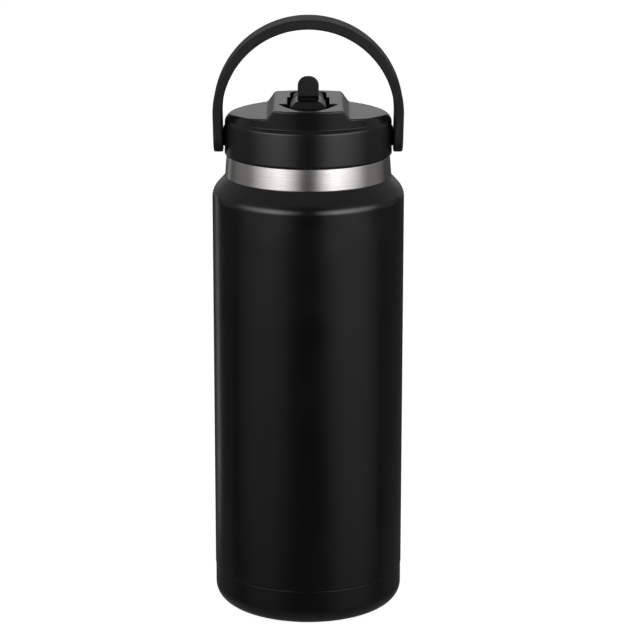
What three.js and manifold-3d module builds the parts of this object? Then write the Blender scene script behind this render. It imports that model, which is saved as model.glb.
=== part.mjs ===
// Insulated steel growler of about 1.2 litres, with a screw-on straw lid, a flip-up spout and a bail handle.
// Millimetres. +Z is up and +Y is the back. The origin is the centre of the circle that the base stands on.
import * as THREE from 'three';
import { LoftGeometry } from 'three/addons/geometries/LoftGeometry.js';
import { mergeVertices } from 'three/addons/utils/BufferGeometryUtils.js';
import Module from 'manifold-3d';

const wasm = await Module();
wasm.setup();

// ---------------------------------------------------------------- driving dimensions

const GAP = 0.3; // clearance between neighbouring pieces
const SHEET = 0.8; // steel wall thickness
const FAR = 60; // reach of a cutter that goes right through
const ABOVE = 265; // a height over the whole lid
const BELOW = 200; // a height under the whole lid

// steel bottle
const BODY_R = 47.5;
const SHOULDER_Z = 210;
const SHOULDER_ARC = 9.5;
const NECK_LOW_R = 41.1;
const NECK_LOW_Z = 220.9;
const NECK_TOP_R = 40.3;
const RIM_Z = 231.5;
const SEAM_Z = 18.8; // weld between the shell and the base cup
const BASE_R = 47.3;
const BASE_CORNER = 8.3;
const BASE_RING_R = 33; // inner edge of the ring that the bottle stands on
const BASE_RECESS = 2.2;
const COLLAR_R = BODY_R - SHEET - GAP;
const COLLAR_TOP = 23;
const PORT_R = 2.5; // evacuation port
const PLUG_R = 4.2;
const PLATE_R = 24;
const GETTER_R = 8;
const FLASK_R = 43; // inside radius of the inner flask
const FLASK_FLOOR = 9.8;
const FLASK_CORNER = 12;
const FLASK_SHOULDER_Z = 207;
const FLASK_SHOULDER_ARC = 9;
const MOUTH_R = 37; // inside radius of the neck

// screw thread, right-handed, one start
const PITCH = 6;
const THREAD_TURNS = 1.25;
const THREAD_HEIGHT = 1.6;
const THREAD_ROOT = 2.8;
const THREAD_CREST = 1.2;
const THREAD_Z = 219; // centre of the flask's thread at its lower end
const THREAD_OFFSET = 2.15; // the lid's thread lies this far below the flask's

// lid
const LID_Z = 231.9;
const LID_R = 40.9;
const LID_LEDGE_Z = 248.6;
const LID_TOP_R = 39.5;
const LID_INSIDE_R = 37.8;
const LID_RIM_INSIDE_R = 38.6; // wider at the bottom, round the gasket
const WING_Z = 255.2; // wing height at its inner front corner
const WING_X = 19.1;
const WING_Y = -34.6;
const WING_BACK_SLOPE = 0.057;
const WING_SIDE_SLOPE = 0.068;
const BRIDGE_Z = 259.2; // top of the raised bridge at its front edge
const BRIDGE_Y = -39.5;
const BRIDGE_SLOPE = 0.041;
const BRIDGE_HALF = 16.7;
const BRIDGE_FLARE = 0.75; // sideways run of the bridge's flanks per unit of height
const DECK = 4; // thickness of the lid's top under the inner edge of a wing
const STEM_R = 34.9;
const STEM_WALL = 2.4;
const STEM_FLOOR = 214;
const STEM_FLOOR_TOP = 216.2;
const STEM_FLANGE = [234.2, 236.4];
const STEM_FLANGE_R = 37.4;

// spout
const PIVOT_Y = -4.5;
const PIVOT_Z = 251.5;
const DRUM_R = 9.75;
const SPOUT_HALF = 9.2;
const SPOUT_EDGE = 0.8;
const SPOUT_TOP_HALF = 5.9; // half-width of its flat top, between the sloping flanks
const SPOUT_FLARE = 0.65; // sideways run of those flanks per unit of height
const SPOUT_RISE = 1; // height of the spout's top over the bridge
const SPOUT_FRONT_Y = -10.7;
const ARM_END_Y = 11.8;
const ARM_BOTTOM_Z = 247.8;
const MOUTHPIECE_HALF = 7.9;
const MOUTHPIECE_END_Y = 33.4;
const BORE_R = 2.2;
const NOZZLE_R = 3.1;
const NOZZLE_END_Y = 29;
const AXLE_R = 2;
const AXLE_X = [5, 15.2];
const TAB_HALF = 5.2;
const TAB_CORNER = 4.7;
const TAB_TOP = 270.1;
const TAB_Y = [-3.1, -0.5];
const TAB_FOOT_Z = 255.4;

// recess in the bridge that the spout folds into
const POCKET_FRONT_Y = -37.3;
const POCKET_BACK_Y = -11.5;
const POCKET_HALF = 14.8;
const RAMP_SLOPE = 0.53;
const CHANNEL_HALF = 10.3;
const CHANNEL_STEP_Y = 13;
const REAR_CHANNEL_HALF = 8.95;
const REAR_CHANNEL_END_Y = 34.5;
const REAR_CHANNEL_CORNER = 5;
const CHANNEL_FLOOR = 247.2;
const WELL_R = 10.15;
const TUB_WALL = 1.8;
const SADDLE_X = 15.5; // outer end of the saddles that the axles lie in
const SOCKET_R = 5.3;
const SOCKET_BOTTOM = 236.9;
const SOCKET_TOP = 244;

// bail handle and its pivots
const BAIL_Z = 240.3; // height of the pivots
const BAIL_ARC_Z = 251.8;
const BAIL_OUTER = 46.9;
const BAIL_THICK = 4.7;
const BAIL_WIDTH = 16;
const BAIL_GRIP_WIDTH = 20; // where the hand holds it
const BAIL_GRIP_Z = [250, 278]; // heights between which the strap widens
const BAIL_EDGE = 1.1;
const BAIL_LEAN = 0.4; // how far the legs lean in at their lower ends
const BAIL_BORE_R = 3.5;
const BAIL_SINK_R = 5;
const BAIL_SINK_X = 44.6;
const PIN_R = 2;
const SPOT_X = 39.9; // flat on the lid's wall under each bushing
const SPOT_R = 6.1;
const BUSHING_R = 5.65;
const BUSHING_FACE_R = 4.8; // at the strap
const PIN_X = 35.5; // inner end of a pin
const HEAD_R = 4.6;
const HEAD = 0.7; // thickness of a pin's head
const CLIP_X = [36.4, 37.1];
const CLIP_R = 3.6;
const CAP_R = 4.7;
const CAP_X = 46.6; // outer face of a pivot cap

// straw
const STRAW_OUTER = 4.2;
const STRAW_INNER = 3.4;
const STRAW_BOTTOM = 26;
const STRAW_TOP = 211.5;
const VENT_Y = 16;
const VENT_R = 1.6;
const ADAPTER_R = 4.6;
const ADAPTER_FLANGE_R = 8.2;
const ADAPTER_TOP = 238.6;
const INSULATION_TOP = 230.5;

// ---------------------------------------------------------------- materials

function finish(color, roughness, metalness) {
  return new THREE.MeshStandardMaterial({ color, roughness, metalness });
}

const powderCoat = finish(0x1a1a1c, 0.55, 0.1);
const steel = finish(0xb9b7b4, 0.32, 1);
const copperGrey = finish(0x8c8880, 0.5, 0.8);
const moulding = finish(0x1e1e20, 0.45, 0);
const softBlack = finish(0x222224, 0.7, 0);
const silicone = finish(0xc9c9c4, 0.6, 0);
const foam = finish(0xe6e2d8, 0.95, 0);
const clearPlastic = finish(0xd7dadb, 0.25, 0);

// ---------------------------------------------------------------- geometry helpers

// Points of an arc about (cr, cz), from angle a0 to a1 in degrees.
function arc(cr, cz, radius, a0, a1, steps) {
  const points = [];
  for (let i = 0; i <= steps; i++) {
    const a = THREE.MathUtils.degToRad(a0 + ((a1 - a0) * i) / steps);
    points.push([cr + radius * Math.cos(a), cz + radius * Math.sin(a)]);
  }
  return points;
}

// A turned body about the Z axis from a profile of [radius, z] points, listed upwards along its outside.
function turned(profile, segments) {
  const points = profile.map(([r, z]) => new THREE.Vector2(r, z));
  return new THREE.LatheGeometry(points, segments).rotateX(Math.PI / 2);
}

// A turned body with a hole along its axis: its profile closes on itself.
function ring(profile, segments) {
  return turned([...profile, profile[0]], segments);
}

// A ring of rectangular section between two radii and two heights.
function washer(inner, outer, z0, z1, segments) {
  return ring([[inner, z0], [outer, z0], [outer, z1], [inner, z1]], segments);
}

function rod(radius, z0, z1, segments) {
  return turned([[0, z0], [radius, z0], [radius, z1], [0, z1]], segments);
}

// Turns a body about Z into one about X, with its z measured along x, at the height and depth given.
function alongX(geometry, y, z) {
  return geometry.rotateY(Math.PI / 2).translate(0, y, z);
}

function box(x0, x1, y0, y1, z0, z1) {
  const geometry = new THREE.BoxGeometry(x1 - x0, y1 - y0, z1 - z0);
  return geometry.translate((x0 + x1) / 2, (y0 + y1) / 2, (z0 + z1) / 2);
}

// An upright prism over a plan outline.
function prism(shape, z0, z1, curveSegments = 8) {
  const options = { depth: z1 - z0, bevelEnabled: false, curveSegments };
  return new THREE.ExtrudeGeometry(shape, options).translate(0, 0, z0);
}

function toSolid(geometry) {
  const bare = new THREE.BufferGeometry();
  bare.setAttribute('position', geometry.getAttribute('position'));
  bare.setIndex(geometry.getIndex());
  const merged = mergeVertices(bare, 1e-4);
  return new wasm.Manifold(new wasm.Mesh({
    numProp: 3,
    vertProperties: merged.attributes.position.array,
    triVerts: new Uint32Array(merged.index.array),
  }));
}

function join(...geometries) {
  return geometries.map(toSolid).reduce((a, b) => a.add(b));
}

function cut(solid, ...geometries) {
  return geometries.map(toSolid).reduce((a, b) => a.subtract(b), solid);
}

function toGeometry(solid) {
  const { vertProperties, triVerts } = solid.getMesh();
  const geometry = new THREE.BufferGeometry();
  geometry.setAttribute('position', new THREE.BufferAttribute(vertProperties, 3));
  geometry.setIndex(new THREE.BufferAttribute(triVerts, 1));
  return geometry;
}

const growler = new THREE.Group();

function place(name, geometry, material) {
  const mesh = new THREE.Mesh(geometry, material);
  mesh.name = name;
  growler.add(mesh);
}

// Adds a piece on the right (+X) and its twin on the left.
function placePair(name, make, material) {
  place(`${name}_right`, make(), material);
  place(`${name}_left`, make().rotateZ(Math.PI), material);
}

// ---------------------------------------------------------------- steel bottle

// The shoulder's angle where its arc runs on straight to the foot of the neck.
const shoulderRun = [NECK_LOW_R - BODY_R + SHOULDER_ARC, NECK_LOW_Z - SHOULDER_Z];
const shoulderEnd = THREE.MathUtils.radToDeg(
  Math.atan2(shoulderRun[1], shoulderRun[0]) - Math.acos(SHOULDER_ARC / Math.hypot(...shoulderRun)),
);

function outerShell() {
  const inner = SHOULDER_ARC - SHEET;
  const centre = BODY_R - SHOULDER_ARC;
  const seat = MOUTH_R + SHEET + GAP;
  const profile = [
    [BODY_R - SHEET, SEAM_Z + GAP],
    [BODY_R - 0.2, SEAM_Z + GAP],
    [BODY_R, SEAM_Z + 2 * GAP],
    ...arc(centre, SHOULDER_Z, SHOULDER_ARC, 0, shoulderEnd, 6),
    [NECK_LOW_R, NECK_LOW_Z],
    [NECK_TOP_R, RIM_Z - 0.4],
    [NECK_TOP_R - 0.4, RIM_Z],
    [seat, RIM_Z],
    [seat, RIM_Z - SHEET],
    [NECK_TOP_R - SHEET, RIM_Z - SHEET],
    [NECK_LOW_R - SHEET, NECK_LOW_Z - SHEET],
    ...arc(centre, SHOULDER_Z, inner, shoulderEnd, 0, 5),
  ];
  return ring(profile, 48);
}

function baseCup() {
  const corner = BASE_R - BASE_CORNER;
  const ceiling = BASE_RECESS + SHEET;
  const profile = [
    [PORT_R, BASE_RECESS],
    [BASE_RING_R - 2, BASE_RECESS],
    [BASE_RING_R, 0],
    ...arc(corner, BASE_CORNER, BASE_CORNER, -90, 0, 5),
    [BASE_R, SEAM_Z - 0.2],
    [BASE_R - 0.2, SEAM_Z],
    [COLLAR_R, SEAM_Z],
    [COLLAR_R, COLLAR_TOP],
    [COLLAR_R - SHEET, COLLAR_TOP],
    [COLLAR_R - SHEET, BASE_CORNER],
    ...arc(corner, BASE_CORNER, BASE_CORNER - SHEET, -10, -90, 4),
    [BASE_RING_R + 0.5, SHEET],
    [BASE_RING_R - 1.6, ceiling],
    [PORT_R, ceiling],
  ];
  return ring(profile, 48);
}

function basePlate() {
  const top = BASE_RECESS - GAP;
  const profile = [[0, top - 1], [PLATE_R - 1, top - 1], [PLATE_R, top - 0.6], [PLATE_R, top], [0, top]];
  return turned(profile, 32);
}

function vacuumPlug() {
  const seat = BASE_RECESS + SHEET + GAP;
  const stem = PORT_R - GAP;
  const bottom = BASE_RECESS + 0.1;
  return turned([
    [0, bottom],
    [stem, bottom],
    [stem, seat],
    [PLUG_R, seat],
    [PLUG_R - 0.8, seat + 0.9],
    [0, seat + 1.1],
  ], 16);
}

function getter() {
  const top = FLASK_FLOOR - SHEET - GAP;
  const pill = GETTER_R - 2;
  return turned([
    [0, top - 1.7],
    [pill, top - 1.7],
    [pill, top - 0.6],
    [GETTER_R, top - 0.6],
    [GETTER_R, top],
    [0, top],
  ], 16);
}

// One helical ridge. It stands on radius root and rises outwards where side is 1, or inwards where side is -1.
function threadRidge(root, side, z0) {
  const steps = 48;
  const runIn = 4; // steps over which each end tapers
  const embed = 0.35;
  const sections = [];
  for (let i = 0; i <= steps; i++) {
    const angle = (2 * Math.PI * THREAD_TURNS * i) / steps;
    const z = z0 + (PITCH * THREAD_TURNS * i) / steps;
    const height = THREAD_HEIGHT * Math.min(1, 0.15 + Math.min(i, steps - i) / runIn);
    const outline = [
      [root - side * embed, THREAD_ROOT / 2],
      [root, THREAD_ROOT / 2],
      [root + side * height, THREAD_CREST / 2],
      [root + side * height, -THREAD_CREST / 2],
      [root, -THREAD_ROOT / 2],
      [root - side * embed, -THREAD_ROOT / 2],
    ];
    if (side < 0) outline.reverse();
    const around = ([r, dz]) => new THREE.Vector3(r * Math.cos(angle), r * Math.sin(angle), z + dz);
    sections.push(outline.map(around));
  }
  return new LoftGeometry(sections, { capStart: true, capEnd: true });
}

function innerFlask() {
  const bottomCentre = FLASK_FLOOR + FLASK_CORNER;
  const centre = FLASK_R - FLASK_SHOULDER_ARC;
  const neckAngle = (radius, wall) => THREE.MathUtils.radToDeg(Math.acos((wall - centre) / radius));
  const outerArc = FLASK_SHOULDER_ARC + SHEET;
  const innerArc = FLASK_SHOULDER_ARC;
  const profile = [
    [0, FLASK_FLOOR - SHEET],
    ...arc(FLASK_R - FLASK_CORNER, bottomCentre, FLASK_CORNER + SHEET, -90, 0, 5),
    ...arc(centre, FLASK_SHOULDER_Z, outerArc, 0, neckAngle(outerArc, MOUTH_R + SHEET), 4),
    [MOUTH_R + SHEET, RIM_Z],
    [MOUTH_R, RIM_Z],
    ...arc(centre, FLASK_SHOULDER_Z, innerArc, neckAngle(innerArc, MOUTH_R), 0, 4),
    ...arc(FLASK_R - FLASK_CORNER, bottomCentre, FLASK_CORNER, 0, -90, 5),
    [0, FLASK_FLOOR],
  ];
  return toGeometry(join(turned(profile, 40), threadRidge(MOUTH_R, -1, THREAD_Z)));
}

place('outer_shell', outerShell(), powderCoat);
place('inner_flask', innerFlask(), steel);
place('base_cup', baseCup(), powderCoat);
place('base_plate', basePlate(), steel);
place('vacuum_plug', vacuumPlug(), copperGrey);
place('getter', getter(), copperGrey);

// ---------------------------------------------------------------- lid

const wingZ = (y) => WING_Z - WING_BACK_SLOPE * (y - WING_Y);
const bridgeZ = (y) => BRIDGE_Z - BRIDGE_SLOPE * (y - BRIDGE_Y);
const rampZ = (y) => bridgeZ(POCKET_FRONT_Y) - RAMP_SLOPE * (y - POCKET_FRONT_Y);

// A body between the planes y = -FAR and y = FAR, with a section of [x, z] points that changes with y.
function alongY(section) {
  const at = (y) => section(y).map(([x, z]) => new THREE.Vector3(x, y, z));
  return new LoftGeometry([at(-FAR), at(FAR)], { capStart: true, capEnd: true });
}

// Everything below a plane that slopes only with y.
function below(height) {
  return alongY((y) => [[-FAR, BELOW], [-FAR, height(y)], [FAR, height(y)], [FAR, BELOW]]);
}

// Everything below the lid's top: two sloping wings and the raised bridge between them.
function belowLidTop() {
  return alongY((y) => {
    const top = bridgeZ(y);
    const foot = BRIDGE_HALF + BRIDGE_FLARE * (top - wingZ(y));
    const wing = (x) => wingZ(y) - WING_SIDE_SLOPE * (x - WING_X);
    const half = [[BRIDGE_HALF, top], [foot, wing(foot)], [FAR, wing(FAR)], [FAR, BELOW]];
    const mirrored = half.map(([x, z]) => [-x, z]).reverse();
    return [...mirrored, ...half];
  });
}

// The bullet-shaped front pocket. Its sides are a parabola with its vertex at the front.
function pocketOutline(grow) {
  const half = POCKET_HALF + grow;
  const vertex = POCKET_FRONT_Y - grow;
  const shape = new THREE.Shape();
  shape.moveTo(half, POCKET_BACK_Y);
  shape.lineTo(half, POCKET_BACK_Y + grow + 0.01);
  shape.lineTo(-half, POCKET_BACK_Y + grow + 0.01);
  shape.lineTo(-half, POCKET_BACK_Y);
  shape.quadraticCurveTo(0, 2 * vertex - POCKET_BACK_Y, half, POCKET_BACK_Y);
  return shape;
}

// The channel behind it: wide where the spout's drum turns, and narrower behind, with rounded corners.
function channelOutline(grow) {
  const wide = CHANNEL_HALF + grow;
  const narrow = REAR_CHANNEL_HALF + grow;
  const corner = REAR_CHANNEL_CORNER + grow;
  const end = REAR_CHANNEL_END_Y - REAR_CHANNEL_CORNER;
  const shape = new THREE.Shape();
  shape.moveTo(-wide, POCKET_BACK_Y - 0.5);
  shape.lineTo(wide, POCKET_BACK_Y - 0.5);
  shape.lineTo(wide, CHANNEL_STEP_Y + grow);
  shape.lineTo(narrow, CHANNEL_STEP_Y + grow);
  shape.absarc(narrow - corner, end, corner, 0, Math.PI / 2, false);
  shape.absarc(corner - narrow, end, corner, Math.PI / 2, Math.PI, false);
  shape.lineTo(-narrow, CHANNEL_STEP_Y + grow);
  shape.lineTo(-wide, CHANNEL_STEP_Y + grow);
  return shape;
}

// The space that the spout folds into, or with grow above 0 the outside of the tub that lines it.
function recess(grow) {
  const drop = grow * 1.1;
  const ramp = toSolid(below((y) => rampZ(y) - drop));
  const pocket = toSolid(prism(pocketOutline(grow), BELOW, ABOVE, 6)).subtract(ramp);
  const channel = toSolid(prism(channelOutline(grow), CHANNEL_FLOOR - grow, ABOVE, 3));
  const half = CHANNEL_HALF + grow;
  const well = toSolid(alongX(rod(WELL_R + grow, -half, half, 32), PIVOT_Y, PIVOT_Z));
  return pocket.add(channel).add(well);
}

// An upright slot, round at its top, that an axle lies in.
function axleSlot(radius, x0, x1, z0) {
  const slot = box(x0, x1, PIVOT_Y - radius, PIVOT_Y + radius, z0, PIVOT_Z);
  return [slot, alongX(rod(radius, x0, x1, 12), PIVOT_Y, PIVOT_Z)];
}

const deckZ = (y) => wingZ(y) - DECK;

function lidCap() {
  const outside = turned([
    [0, LID_Z],
    [LID_R - 0.5, LID_Z],
    [LID_R - 0.1, LID_Z + 0.5],
    [LID_R, LID_Z + 2.1],
    [LID_R - 0.3, LID_LEDGE_Z - 2.5],
    [LID_R - 0.6, LID_LEDGE_Z - 0.5],
    [LID_TOP_R + 0.1, LID_LEDGE_Z],
    [LID_TOP_R - 0.1, LID_LEDGE_Z + 1.4],
    [LID_TOP_R, LID_LEDGE_Z + 3],
    [LID_TOP_R, ABOVE],
    [0, ABOVE],
  ], 48);
  const inside = turned([
    [0, LID_Z - 1],
    [LID_RIM_INSIDE_R, LID_Z - 1],
    [LID_RIM_INSIDE_R, STEM_FLANGE[0] - GAP],
    [LID_INSIDE_R, STEM_FLANGE[0] - GAP],
    [LID_INSIDE_R, ABOVE],
    [0, ABOVE],
  ], 48);
  let cap = toSolid(outside).intersect(toSolid(belowLidTop()));
  cap = cap.subtract(toSolid(inside).intersect(toSolid(below(deckZ))));
  cap = cap.subtract(recess(0));
  for (const side of [-1, 1]) {
    const [x0, x1] = side > 0 ? [CHANNEL_HALF - 1, SADDLE_X + GAP] : [-SADDLE_X - GAP, 1 - CHANNEL_HALF];
    cap = cut(cap, ...axleSlot(AXLE_R + GAP, x0, x1, BAIL_Z));
    const spot = alongX(rod(SPOT_R, SPOT_X, FAR, 24), 0, BAIL_Z);
    const hole = alongX(rod(PIN_R + GAP, PIN_X - 5, FAR, 16), 0, BAIL_Z);
    if (side < 0) [spot, hole].forEach((g) => g.rotateZ(Math.PI));
    cap = cut(cap, spot, hole);
  }
  return toGeometry(cap);
}

function spoutTub() {
  const top = (y) => deckZ(y) - GAP;
  let tub = recess(TUB_WALL);
  tub = tub.add(toSolid(rod(SOCKET_R + TUB_WALL, SOCKET_BOTTOM, SOCKET_TOP - 2, 24).translate(0, PIVOT_Y, 0)));
  tub = tub.intersect(toSolid(below(top)));
  for (const side of [-1, 1]) {
    const [x0, x1] = side > 0 ? [CHANNEL_HALF + GAP, SADDLE_X] : [-SADDLE_X, -CHANNEL_HALF - GAP];
    tub = tub.add(toSolid(box(x0, x1, PIVOT_Y - AXLE_R, PIVOT_Y + AXLE_R, SOCKET_TOP, PIVOT_Z)));
    tub = cut(tub, alongX(rod(AXLE_R + GAP, x0 - 0.5, x1 + 0.5, 12), PIVOT_Y, PIVOT_Z));
  }
  tub = tub.subtract(recess(0));
  const socket = rod(SOCKET_R, SOCKET_BOTTOM - 1, SOCKET_TOP, 24).translate(0, PIVOT_Y, 0);
  const vent = rod(VENT_R - 0.4, SOCKET_TOP, CHANNEL_FLOOR + 1, 12).translate(0, VENT_Y, 0);
  return toGeometry(cut(tub, socket, vent));
}

function lidStem() {
  const inner = STEM_R - STEM_WALL;
  const cup = turned([
    [0, STEM_FLOOR],
    [STEM_R - 0.6, STEM_FLOOR],
    [STEM_R, STEM_FLOOR + 0.6],
    [STEM_R, STEM_FLANGE[0]],
    [STEM_FLANGE_R, STEM_FLANGE[0]],
    [STEM_FLANGE_R, STEM_FLANGE[1]],
    [inner, STEM_FLANGE[1]],
    [inner, STEM_FLOOR_TOP],
    [0, STEM_FLOOR_TOP],
  ], 40);
  const thread = threadRidge(STEM_R, 1, THREAD_Z - THREAD_OFFSET);
  const strawHole = rod(ADAPTER_R + 0.4, BELOW, INSULATION_TOP, 20).translate(0, PIVOT_Y, 0);
  const ventHole = rod(VENT_R, BELOW, INSULATION_TOP, 12).translate(0, VENT_Y, 0);
  return toGeometry(cut(join(cup, thread), strawHole, ventHole));
}

function stemInsulation() {
  const puck = rod(STEM_R - STEM_WALL - GAP, STEM_FLOOR_TOP + GAP, INSULATION_TOP, 32);
  const strawHole = rod(ADAPTER_FLANGE_R + 2 * GAP, BELOW, ABOVE, 20).translate(0, PIVOT_Y, 0);
  const ventHole = rod(2.5 * VENT_R, BELOW, ABOVE, 12).translate(0, VENT_Y, 0);
  return toGeometry(cut(toSolid(puck), strawHole, ventHole));
}

function lidGasket() {
  const outer = LID_RIM_INSIDE_R - GAP;
  const inner = STEM_R + GAP;
  const top = STEM_FLANGE[0] - GAP - GAP;
  return ring([[inner, 232.4], [36.6, RIM_Z + GAP], [outer, RIM_Z + GAP], [outer, top], [inner, top]], 40);
}

function portSeal() {
  const block = washer(BORE_R, SOCKET_R - GAP, ADAPTER_TOP + GAP, SOCKET_TOP - 1, 24).translate(0, PIVOT_Y, 0);
  const drum = alongX(rod(DRUM_R + GAP, -FAR, FAR, 48), PIVOT_Y, PIVOT_Z);
  return toGeometry(cut(toSolid(block), drum));
}

function strawAdapter() {
  const nipple = STRAW_INNER - GAP;
  const flange = STEM_FLOOR_TOP + 1.7;
  const profile = [
    [BORE_R, BELOW],
    [nipple - 0.4, BELOW],
    [nipple, BELOW + 1],
    [nipple, STRAW_TOP + 0.5],
    [ADAPTER_R, STRAW_TOP + 0.5],
    [ADAPTER_R, flange],
    [ADAPTER_FLANGE_R, flange],
    [ADAPTER_FLANGE_R, flange + 1.5],
    [ADAPTER_R, flange + 1.5],
    [ADAPTER_R, SOCKET_BOTTOM],
    [SOCKET_R - GAP, SOCKET_BOTTOM],
    [SOCKET_R - GAP, ADAPTER_TOP],
    [BORE_R, ADAPTER_TOP],
  ];
  return ring(profile, 20).translate(0, PIVOT_Y, 0);
}

function adapterSeal() {
  const section = 0.55; // radius of the cord
  const middle = (ADAPTER_R + ADAPTER_FLANGE_R) / 2;
  return ring(arc(middle, STEM_FLOOR_TOP + GAP + section, section, -90, 225, 7), 20).translate(0, PIVOT_Y, 0);
}

function straw() {
  return washer(STRAW_INNER, STRAW_OUTER, STRAW_BOTTOM, STRAW_TOP, 20).translate(0, PIVOT_Y, 0);
}

function ventValve() {
  const profile = [
    [0, 212.4],
    [3, 212.7],
    [5, 213.3],
    [5, 213.7],
    [1.3, 213.7],
    [1.3, 216.5],
    [2.2, 216.5],
    [1.2, 219],
    [0, 219],
  ];
  return turned(profile, 16).translate(0, VENT_Y, 0);
}

place('lid_cap', lidCap(), moulding);
place('spout_tub', spoutTub(), moulding);
place('lid_stem', lidStem(), moulding);
place('stem_insulation', stemInsulation(), foam);
place('lid_gasket', lidGasket(), silicone);
place('port_seal', portSeal(), silicone);
place('straw_adapter', strawAdapter(), clearPlastic);
place('adapter_seal', adapterSeal(), silicone);
place('straw', straw(), clearPlastic);
place('vent_valve', ventValve(), silicone);

// ---------------------------------------------------------------- spout

const spoutZ = (y) => bridgeZ(y) + SPOUT_RISE;

// The side view of the spout, drawn with x to the back and y up, from its pivot.
function spoutOutline() {
  const back = ARM_END_Y - PIVOT_Y;
  const low = ARM_BOTTOM_Z - PIVOT_Z;
  const start = Math.PI - Math.asin((spoutZ(SPOUT_FRONT_Y) - PIVOT_Z) / DRUM_R);
  const shape = new THREE.Shape();
  shape.absarc(0, 0, DRUM_R, start, 2 * Math.PI + Math.asin(low / DRUM_R), false);
  shape.lineTo(back, low);
  shape.lineTo(back, spoutZ(ARM_END_Y) - PIVOT_Z);
  return shape;
}

// One of the wedges that its sloping flanks leave off, on the side given by the sign.
function spoutFlank(sign) {
  const reach = SPOUT_HALF + 2;
  const rise = 3;
  const sections = [PIVOT_Y - DRUM_R - 1, ARM_END_Y + 1].map((y) => {
    const top = spoutZ(y);
    const foot = top - (reach - SPOUT_TOP_HALF) / SPOUT_FLARE;
    const outline = [[reach, foot], [reach, top + rise], [SPOUT_TOP_HALF - SPOUT_FLARE * rise, top + rise]];
    if (sign > 0) outline.reverse();
    return outline.map(([x, z]) => new THREE.Vector3(sign * x, y, z));
  });
  return new LoftGeometry(sections, { capStart: true, capEnd: true });
}

function spoutBody() {
  const options = {
    depth: 2 * (SPOUT_HALF - SPOUT_EDGE),
    bevelThickness: SPOUT_EDGE,
    bevelSize: SPOUT_EDGE,
    bevelOffset: -SPOUT_EDGE,
    bevelSegments: 1,
    curveSegments: 12,
  };
  const block = new THREE.ExtrudeGeometry(spoutOutline(), options)
    .translate(0, 0, SPOUT_EDGE - SPOUT_HALF)
    .rotateX(Math.PI / 2)
    .rotateZ(Math.PI / 2)
    .translate(0, PIVOT_Y, PIVOT_Z);
  const nozzle = rod(NOZZLE_R, ARM_END_Y - 3, NOZZLE_END_Y, 20).rotateX(-Math.PI / 2).translate(0, 0, PIVOT_Z);
  const bore = rod(BORE_R, -30, 40, 16).rotateX(-Math.PI / 2).translate(0, 0, PIVOT_Z);
  const slot = box(-TAB_HALF - GAP, TAB_HALF + GAP, TAB_Y[0] - GAP, TAB_Y[1] + GAP, TAB_FOOT_Z - GAP, 262);
  const axleHole = (x0, x1) => alongX(rod(AXLE_R + GAP, x0, x1, 16), PIVOT_Y, PIVOT_Z);
  const right = axleHole(AXLE_X[0] - GAP, 12);
  const left = axleHole(-12, GAP - AXLE_X[0]);
  return toGeometry(cut(join(block, nozzle), spoutFlank(1), spoutFlank(-1), bore, slot, right, left));
}

// The finger tab: a tongue with a round top, standing in a slot in the spout.
function thumbTab() {
  const round = TAB_TOP - TAB_CORNER;
  const level = TAB_HALF - TAB_CORNER;
  const soft = 0.5;
  const shape = new THREE.Shape();
  shape.moveTo(-TAB_HALF, TAB_FOOT_Z);
  shape.lineTo(TAB_HALF, TAB_FOOT_Z);
  shape.absarc(level, round, TAB_CORNER, 0, Math.PI / 2, false);
  shape.absarc(-level, round, TAB_CORNER, Math.PI / 2, Math.PI, false);
  const options = {
    depth: TAB_Y[1] - TAB_Y[0] - 2 * soft,
    bevelThickness: soft,
    bevelSize: soft,
    bevelOffset: -soft,
    bevelSegments: 1,
    curveSegments: 16,
  };
  return new THREE.ExtrudeGeometry(shape, options).rotateX(Math.PI / 2).translate(0, TAB_Y[1] - soft, 0);
}

// The soft mouthpiece: a flat oval sleeve on the nozzle, drawn in to a lip at its end.
function mouthpiece() {
  const start = ARM_END_Y + GAP;
  const bottom = ARM_BOTTOM_Z + 0.1;
  // each section is [y, share of the full half-width, share of the full height]
  const stations = [
    [start, 1, 1],
    [REAR_CHANNEL_END_Y - 8, 1, 1],
    [REAR_CHANNEL_END_Y - 4.5, 0.95, 0.96],
    [REAR_CHANNEL_END_Y - 2.5, 0.84, 0.9],
    [MOUTHPIECE_END_Y, 0.62, 0.78],
  ];
  const sections = stations.map(([y, wide, tall]) => {
    const height = spoutZ(y) - bottom;
    const middle = bottom + height / 2;
    const points = [];
    for (let i = 0; i < 20; i++) {
      const a = (2 * Math.PI * i) / 20;
      const bulge = (v) => Math.sign(v) * Math.sqrt(Math.abs(v));
      const x = MOUTHPIECE_HALF * wide * bulge(Math.cos(a));
      points.push(new THREE.Vector3(x, y, middle + (height / 2) * tall * bulge(Math.sin(a))));
    }
    return points.reverse();
  });
  const sleeve = new LoftGeometry(sections, { capStart: true, capEnd: true });
  const alongSpout = (radius, y0, y1) =>
    rod(radius, y0, y1, 20).rotateX(-Math.PI / 2).translate(0, 0, PIVOT_Z);
  const socket = alongSpout(NOZZLE_R + GAP, start - 1, NOZZLE_END_Y + GAP);
  const orifice = alongSpout(BORE_R, start, MOUTHPIECE_END_Y + 1);
  return toGeometry(cut(toSolid(sleeve), socket, orifice));
}

function spoutAxle() {
  return alongX(rod(AXLE_R, AXLE_X[0], AXLE_X[1], 16), PIVOT_Y, PIVOT_Z);
}

place('spout_body', spoutBody(), moulding);
place('thumb_tab', thumbTab(), softBlack);
place('mouthpiece', mouthpiece(), softBlack);
place('spout_axle_right', spoutAxle(), steel);
place('spout_axle_left', spoutAxle().translate(-AXLE_X[0] - AXLE_X[1], 0, 0), steel);

// ---------------------------------------------------------------- bail handle

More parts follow.
